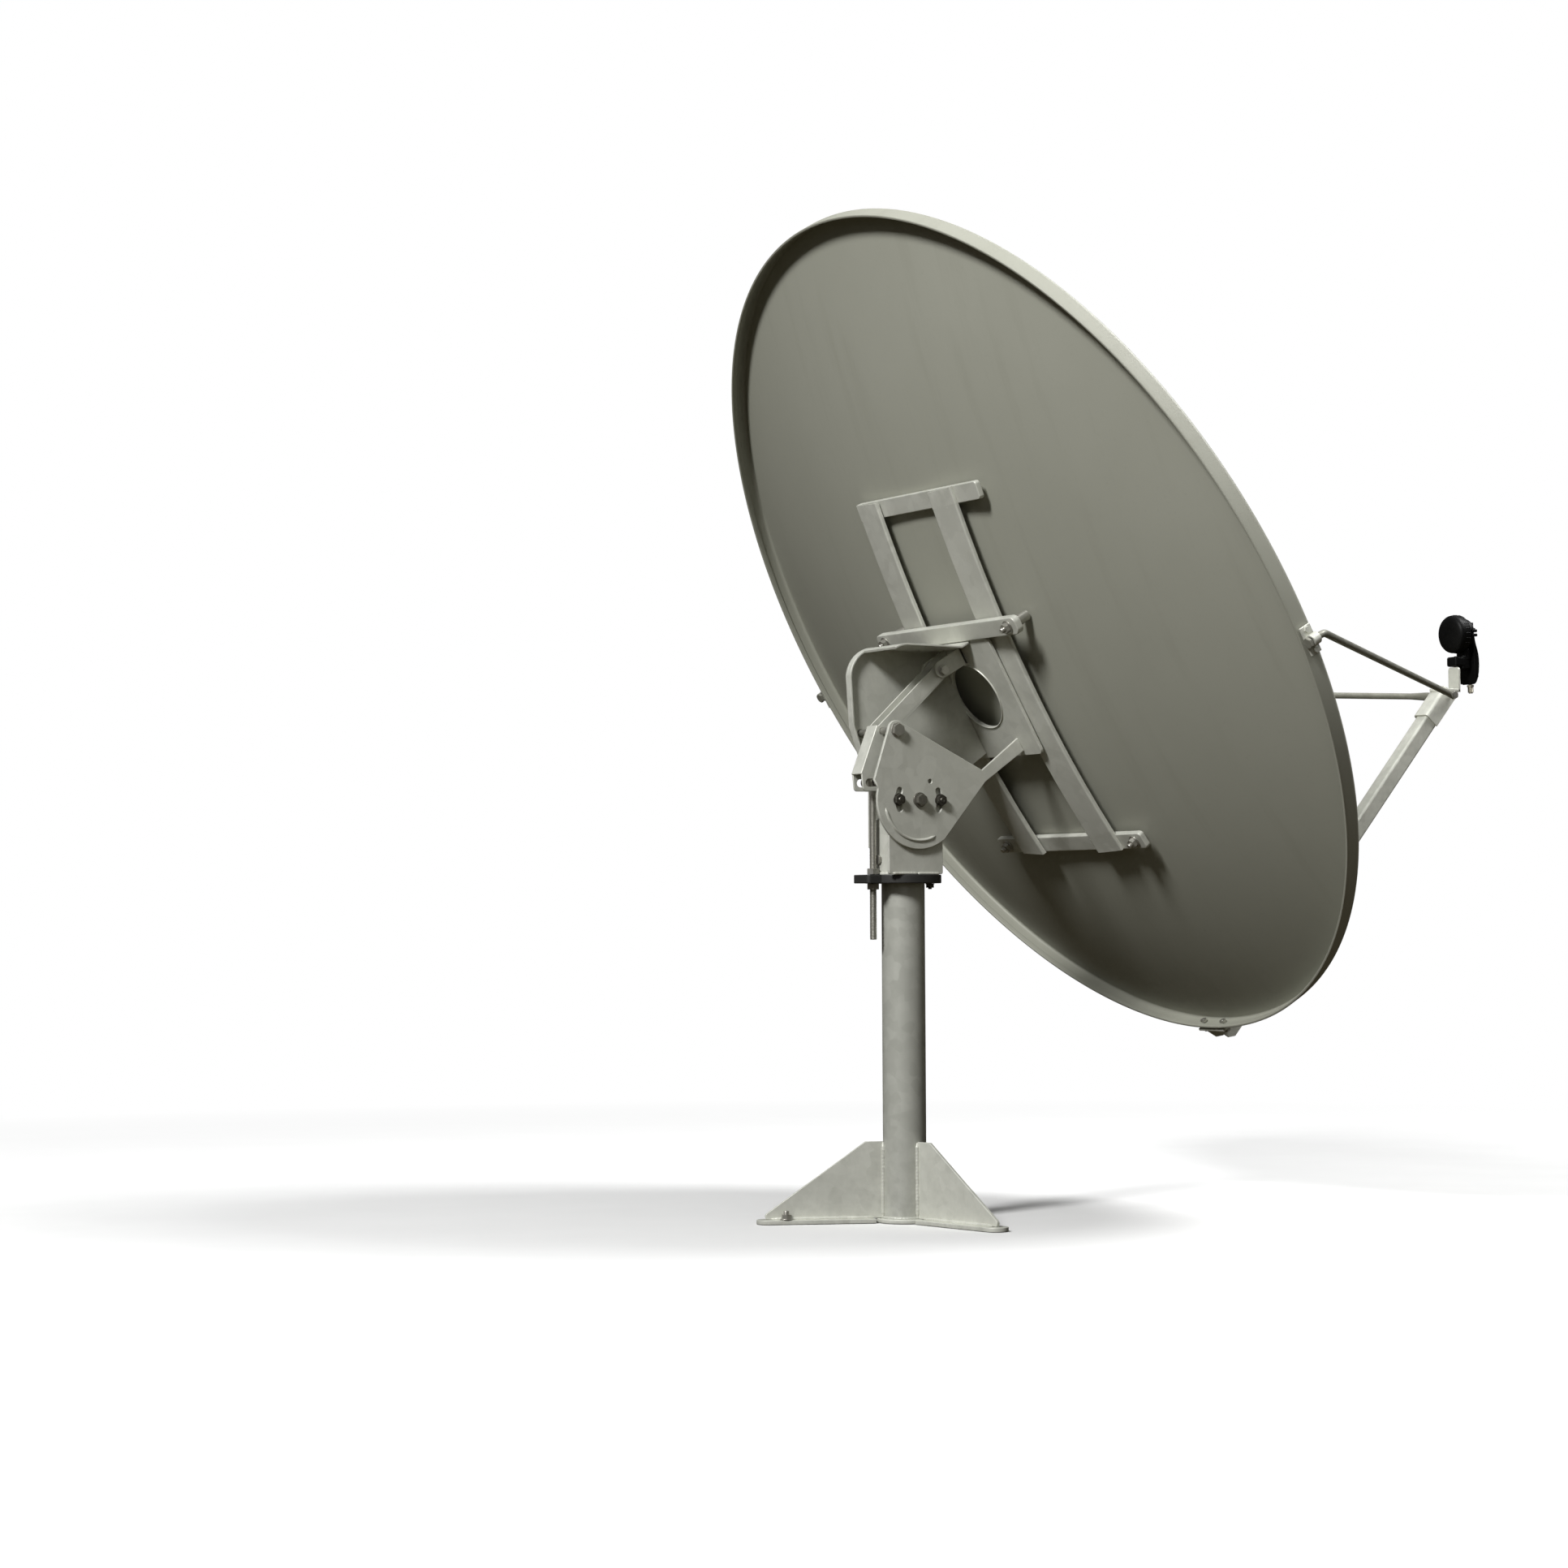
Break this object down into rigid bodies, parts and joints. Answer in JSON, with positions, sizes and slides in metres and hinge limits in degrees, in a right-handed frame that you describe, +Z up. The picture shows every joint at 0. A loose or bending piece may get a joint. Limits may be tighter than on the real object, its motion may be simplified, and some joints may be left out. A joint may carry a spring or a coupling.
{
  "type": "satellite dish",
  "caption": "Offset satellite dish seen with its back frame, elevation hub and screw, on a floor-standing mast with three fins, and a feed on a braced arm.",
  "frame": {"origin": "on the mast's axis, on the face that rests on the slab", "axes": "+Z up along the mast, the dish looks towards -Y and up, +X is left as seen from behind the dish"},
  "size_m": [1.2344, 1.2408, 1.3977],
  "materials": {
    "galvanised": "matte galvanised",
    "dish_paint": "matte painted",
    "zinc": "zinc plated",
    "black_steel": "black painted",
    "black_plastic": "moulded",
    "connector": "nickel plated"
  },
  "bodies": {
    "base": {"anchor_bolt_front": "zinc", "anchor_bolt_rear": "zinc", "anchor_bolt_right": "zinc", "base_fin_front": "galvanised", "base_fin_rear": "galvanised", "base_fin_right": "galvanised", "base_foot_front": "galvanised", "base_foot_rear": "galvanised", "base_foot_right": "galvanised", "pole": "galvanised", "pole_foot_plate": "galvanised"},
    "azimuth_head": {"az_canister": "galvanised", "az_cheek_left": "galvanised", "az_cheek_right": "galvanised", "az_flange": "black_steel", "earth_bolt": "zinc", "jack_nut_lower": "zinc", "jack_nut_upper": "zinc", "lock_bolt_left_front": "zinc", "lock_bolt_right_front": "zinc", "lock_bolt_right_rear": "zinc", "pivot_bolt": "zinc", "set_bolt_front": "zinc", "set_bolt_rear": "zinc"},
    "jack": {"jack_rod": "zinc", "jack_pin": "zinc"},
    "elevation_head": {"arm_bolt_lower": "zinc", "arm_bolt_upper": "zinc", "crossbar_bottom": "galvanised", "crossbar_mid": "galvanised", "crossbar_top": "galvanised", "dish_bolt_bottom_left": "zinc", "dish_bolt_bottom_right": "zinc", "dish_bolt_mid_left": "zinc", "dish_bolt_mid_right": "zinc", "feed_arm": "galvanised", "feed_arm_bracket": "galvanised", "feed_tip_bracket": "galvanised", "hub_plate": "galvanised", "lnb_holder": "black_plastic", "lnb_holder_cap": "black_plastic", "rail_left": "galvanised", "rail_right": "galvanised", "reflector": "dish_paint", "side_plate_left": "galvanised", "side_plate_right": "galvanised", "stay_clip_left": "galvanised", "stay_clip_right": "galvanised", "stay_left": "galvanised", "stay_right": "galvanised", "strut": "galvanised", "strut_clevis": "galvanised", "strut_cross_bolt": "zinc", "strut_top_bolt": "zinc"},
    "lnb": {"lnb_horn": "black_plastic", "lnb_cap": "black_plastic", "lnb_housing": "black_plastic", "lnb_f_connector": "connector"}
  },
  "joints": [
    {"name": "azimuth", "type": "hinge", "parent": "base", "child": "azimuth_head", "pos_m": [0, 0, 0.5], "axis": [0, 0, 1], "continuous": true},
    {"name": "elevation", "type": "hinge", "parent": "azimuth_head", "child": "elevation_head", "pos_m": [0, 0.004, 0.585], "axis": [1, 0, 0], "range_deg": [-20, 20]},
    {"name": "jack_travel", "type": "slide", "parent": "azimuth_head", "child": "jack", "axis": [0, 0, 1], "range_m": [-0.018, 0.018]},
    {"name": "lnb_skew", "type": "hinge", "parent": "elevation_head", "child": "lnb", "pos_m": [0, -1.0265, 0.857], "axis": [0, 0.9987, -0.0501], "range_deg": [-60, 60]}
  ],
  "couplings": [
    {"joint": "jack_travel", "follows": "elevation", "m_per_rad": 0.0474}
  ]
}
